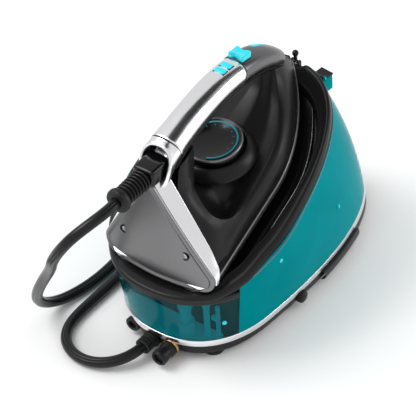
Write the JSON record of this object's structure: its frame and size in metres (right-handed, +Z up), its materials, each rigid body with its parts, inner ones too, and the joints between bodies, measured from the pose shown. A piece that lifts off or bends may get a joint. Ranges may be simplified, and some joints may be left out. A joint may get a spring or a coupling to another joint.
{
  "type": "steam generator iron with station",
  "caption": "Steam-generator clothes iron docked nose-up on a compact water-tank station, joined by a steam hose, with a turning dial, keys, filler flap and drain cap.",
  "frame": {"origin": "middle of the station's footprint on the surface that it stands on, measured without the steam hose", "axes": "+Z up, +Y towards the iron's nose, +X to the right seen from behind the iron"},
  "size_m": [0.2677, 0.4577, 0.2617],
  "materials": {
    "black_plastic": "satin black moulded plastic",
    "gloss_black": "polished black plastic",
    "teal_clear": "turquoise transparent plastic",
    "chrome_plate": "bright plated plastic",
    "satin_metal": "satin metal",
    "sole_metal": "ground aluminium",
    "steel": "zinc plated steel",
    "copper_brass": "brass and copper",
    "cyan_keys": "glossy turquoise plastic",
    "dark_grey": "dark grey satin plastic",
    "rubber_black": "black rubber",
    "white_ink": "printed white",
    "pump_plastic": "natural plastic",
    "board_green": "circuit board",
    "housing_dark": "dark moulded housing"
  },
  "bodies": {
    "station": {"base_tray": "black_plastic", "base_screws": "steel", "rubber_feet": "rubber_black", "chrome_band": "chrome_plate", "tank_shell": "teal_clear", "rear_window": "teal_clear", "rear_lip": "black_plastic", "platform_rim": "black_plastic", "platform_tray": "gloss_black", "tray_trim": "chrome_plate", "rest_pads": "rubber_black", "filler_spout": "teal_clear", "hinge_pins": "steel", "latch_bracket": "black_plastic", "boiler_housing": "housing_dark", "tank_floor": "teal_clear", "boiler": "steel", "boiler_element": "copper_brass", "pump": "pump_plastic", "inner_mounts": "housing_dark", "steam_valve": "copper_brass", "control_board": "board_green", "valve_column": "teal_clear", "level_tube": "teal_clear", "rear_ledge": "teal_clear", "window_bracket": "teal_clear", "level_marks": "white_ink", "hose_gland": "rubber_black", "cap_socket": "copper_brass", "mains_inlet": "rubber_black", "side_fittings": "black_plastic", "steam_hose_lower": "rubber_black", "steam_hose_coil": "rubber_black"},
    "iron": {"soleplate": "sole_metal", "heating_block": "sole_metal", "heating_element": "copper_brass", "sole_skirt": "black_plastic", "body_shell": "black_plastic", "nose_post": "black_plastic", "handle_shell": "chrome_plate", "handle_grip": "black_plastic", "nose_cap": "dark_grey", "heel_plate": "satin_metal", "heel_screws": "steel", "heel_frame": "chrome_plate", "rocker_pin": "steel", "rocker_bracket": "black_plastic", "light_strip": "cyan_keys", "dial_bezel": "black_plastic", "thermostat": "copper_brass", "swivel_block": "gloss_black", "bend_guard": "rubber_black", "steam_hose_upper": "rubber_black"},
    "dial": {"dial_knob": "gloss_black"},
    "key_down": {"temperature_down_key": "cyan_keys"},
    "key_up": {"temperature_up_key": "cyan_keys"},
    "rocker": {"steam_rocker": "cyan_keys"},
    "flap": {"filler_flap": "black_plastic"},
    "latch": {"nose_latch": "black_plastic"},
    "drain": {"drain_cap": "black_plastic"}
  },
  "joints": [
    {"name": "iron_lift", "type": "slide", "parent": "station", "child": "iron", "axis": [0, -0.3947, 0.9188], "range_m": [0, 0.05], "deforming": ["steam_hose_upper"]},
    {"name": "dial_turn", "type": "hinge", "parent": "iron", "child": "dial", "pos_m": [0, -0.03821, 0.17754], "axis": [0, -0.1607, 0.987], "range_deg": [-130, 130]},
    {"name": "key_down_press", "type": "slide", "parent": "iron", "child": "key_down", "axis": [0, -0.0305, -0.9995], "range_m": [0, 0.0012], "stiffness_N_per_m": 600},
    {"name": "key_up_press", "type": "slide", "parent": "iron", "child": "key_up", "axis": [0, -0.048, -0.9988], "range_m": [0, 0.0012], "stiffness_N_per_m": 600},
    {"name": "rocker_tilt", "type": "hinge", "parent": "iron", "child": "rocker", "pos_m": [0, 0.00495, 0.25442], "axis": [1, 0, 0], "range_deg": [-5, 5], "stiffness_Nm_per_rad": 0.05},
    {"name": "flap_open", "type": "hinge", "parent": "station", "child": "flap", "pos_m": [0.02608, 0.09398, 0.18338], "axis": [0.9937, -0.1119, 0], "range_deg": [0, 85]},
    {"name": "latch_release", "type": "hinge", "parent": "station", "child": "latch", "pos_m": [0, 0.0915, 0.1913], "axis": [-1, 0, 0], "range_deg": [0, 40]},
    {"name": "drain_turn", "type": "hinge", "parent": "station", "child": "drain", "pos_m": [0.014, -0.1416, 0.013], "axis": [0, -1, 0], "range_deg": [0, 360]}
  ]
}
